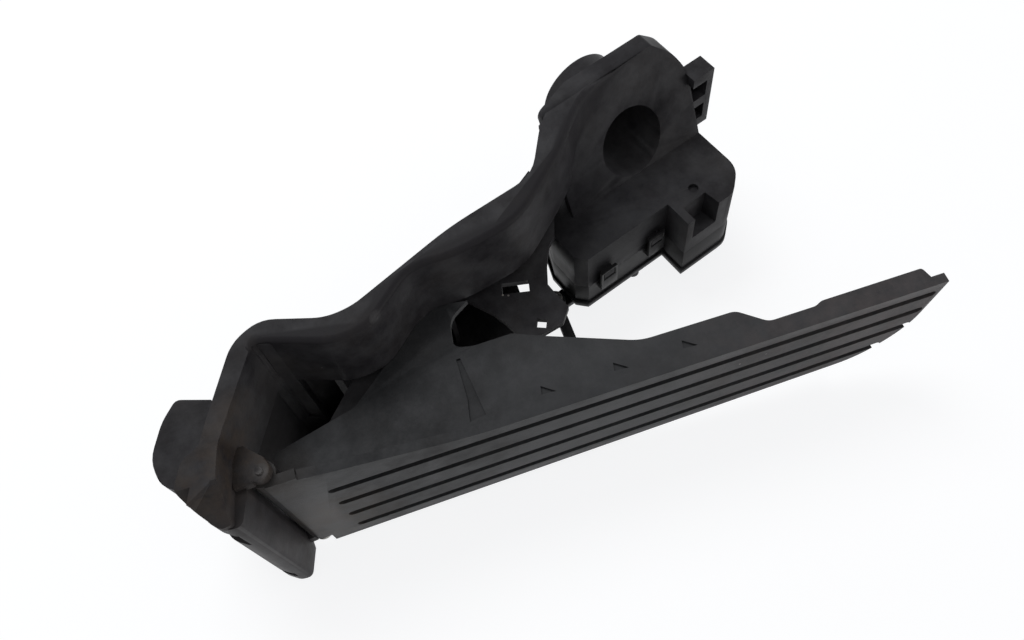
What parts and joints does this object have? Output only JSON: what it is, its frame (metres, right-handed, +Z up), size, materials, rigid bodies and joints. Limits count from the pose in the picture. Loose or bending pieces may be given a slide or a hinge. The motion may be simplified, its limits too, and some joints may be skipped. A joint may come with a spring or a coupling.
{
  "type": "accelerator pedal module",
  "caption": "Floor-hinged accelerator pedal: grooved tread on a heel hinge, S-shaped moulded housing with one bolt boss, and a sensor box driven by a push rod and lever",
  "frame": {"origin": "centre of the bolt hole in the rear face of the boss, where the module seats on the car", "axes": "+X across the pedal to the driver's right, +Y forward towards the car's bulkhead, +Z up along the tread"},
  "size_m": [0.092, 0.1397, 0.2696],
  "materials": {
    "housing_plastic": "matt black glass-filled moulding",
    "tread_plastic": "fine-grained black moulding",
    "cover_plastic": "smooth black moulding",
    "natural_plastic": "natural low-friction moulding",
    "friction_plastic": "pressed friction lining",
    "steel": "zinc plated",
    "spring_steel": "drawn wire",
    "bronze": "sintered",
    "magnet_alloy": "pressed magnet",
    "board_laminate": "lacquered laminate",
    "chip_resin": "moulded resin",
    "rubber": "soft black"
  },
  "bodies": {
    "base": {"housing": "housing_plastic", "mount_sleeve": "steel", "hinge_pin": "steel", "hinge_clip": "steel", "bearing_bridge": "housing_plastic", "shaft_bush_inner": "bronze", "shaft_bush_outer": "bronze", "return_spring_outer": "spring_steel", "return_spring_inner": "spring_steel", "friction_ring": "friction_plastic", "sensor_board": "board_laminate", "hall_sensors": "chip_resin", "board_screws": "steel", "sensor_cover": "cover_plastic", "cover_gasket": "rubber", "travel_stop": "rubber", "contact_pins": "bronze", "sensor_lead": "rubber"},
    "tread": {"pedal": "tread_plastic"},
    "lever": {"lever_shaft": "steel", "spring_drum": "natural_plastic", "magnet_holder": "natural_plastic", "rotor_magnet": "magnet_alloy", "lever_arm": "cover_plastic", "rod_pin_upper": "steel"},
    "rod": {"link_rod": "tread_plastic", "rod_pin_lower": "steel"}
  },
  "joints": [
    {"name": "pedal_hinge", "type": "hinge", "parent": "base", "child": "tread", "pos_m": [0.0207, -0.1194, -0.1452], "axis": [-1, 0, 0], "range_deg": [0, 14]},
    {"name": "lever_turn", "type": "hinge", "parent": "base", "child": "lever", "pos_m": [0.044, -0.03949, 0.0266], "axis": [-1, 0, 0], "range_deg": [-26.1, 0], "stiffness_Nm_per_rad": 2.5, "springref_deg": 25.78},
    {"name": "rod_turn", "type": "hinge", "parent": "lever", "child": "rod", "pos_m": [0.05, -0.06069, -0.03166], "axis": [-1, 0, 0], "range_deg": [0, 24.9]}
  ],
  "couplings": [
    {"joint": "lever_turn", "follows": "pedal_hinge", "ratio": -1.86},
    {"joint": "rod_turn", "follows": "pedal_hinge", "ratio": 1.77}
  ]
}
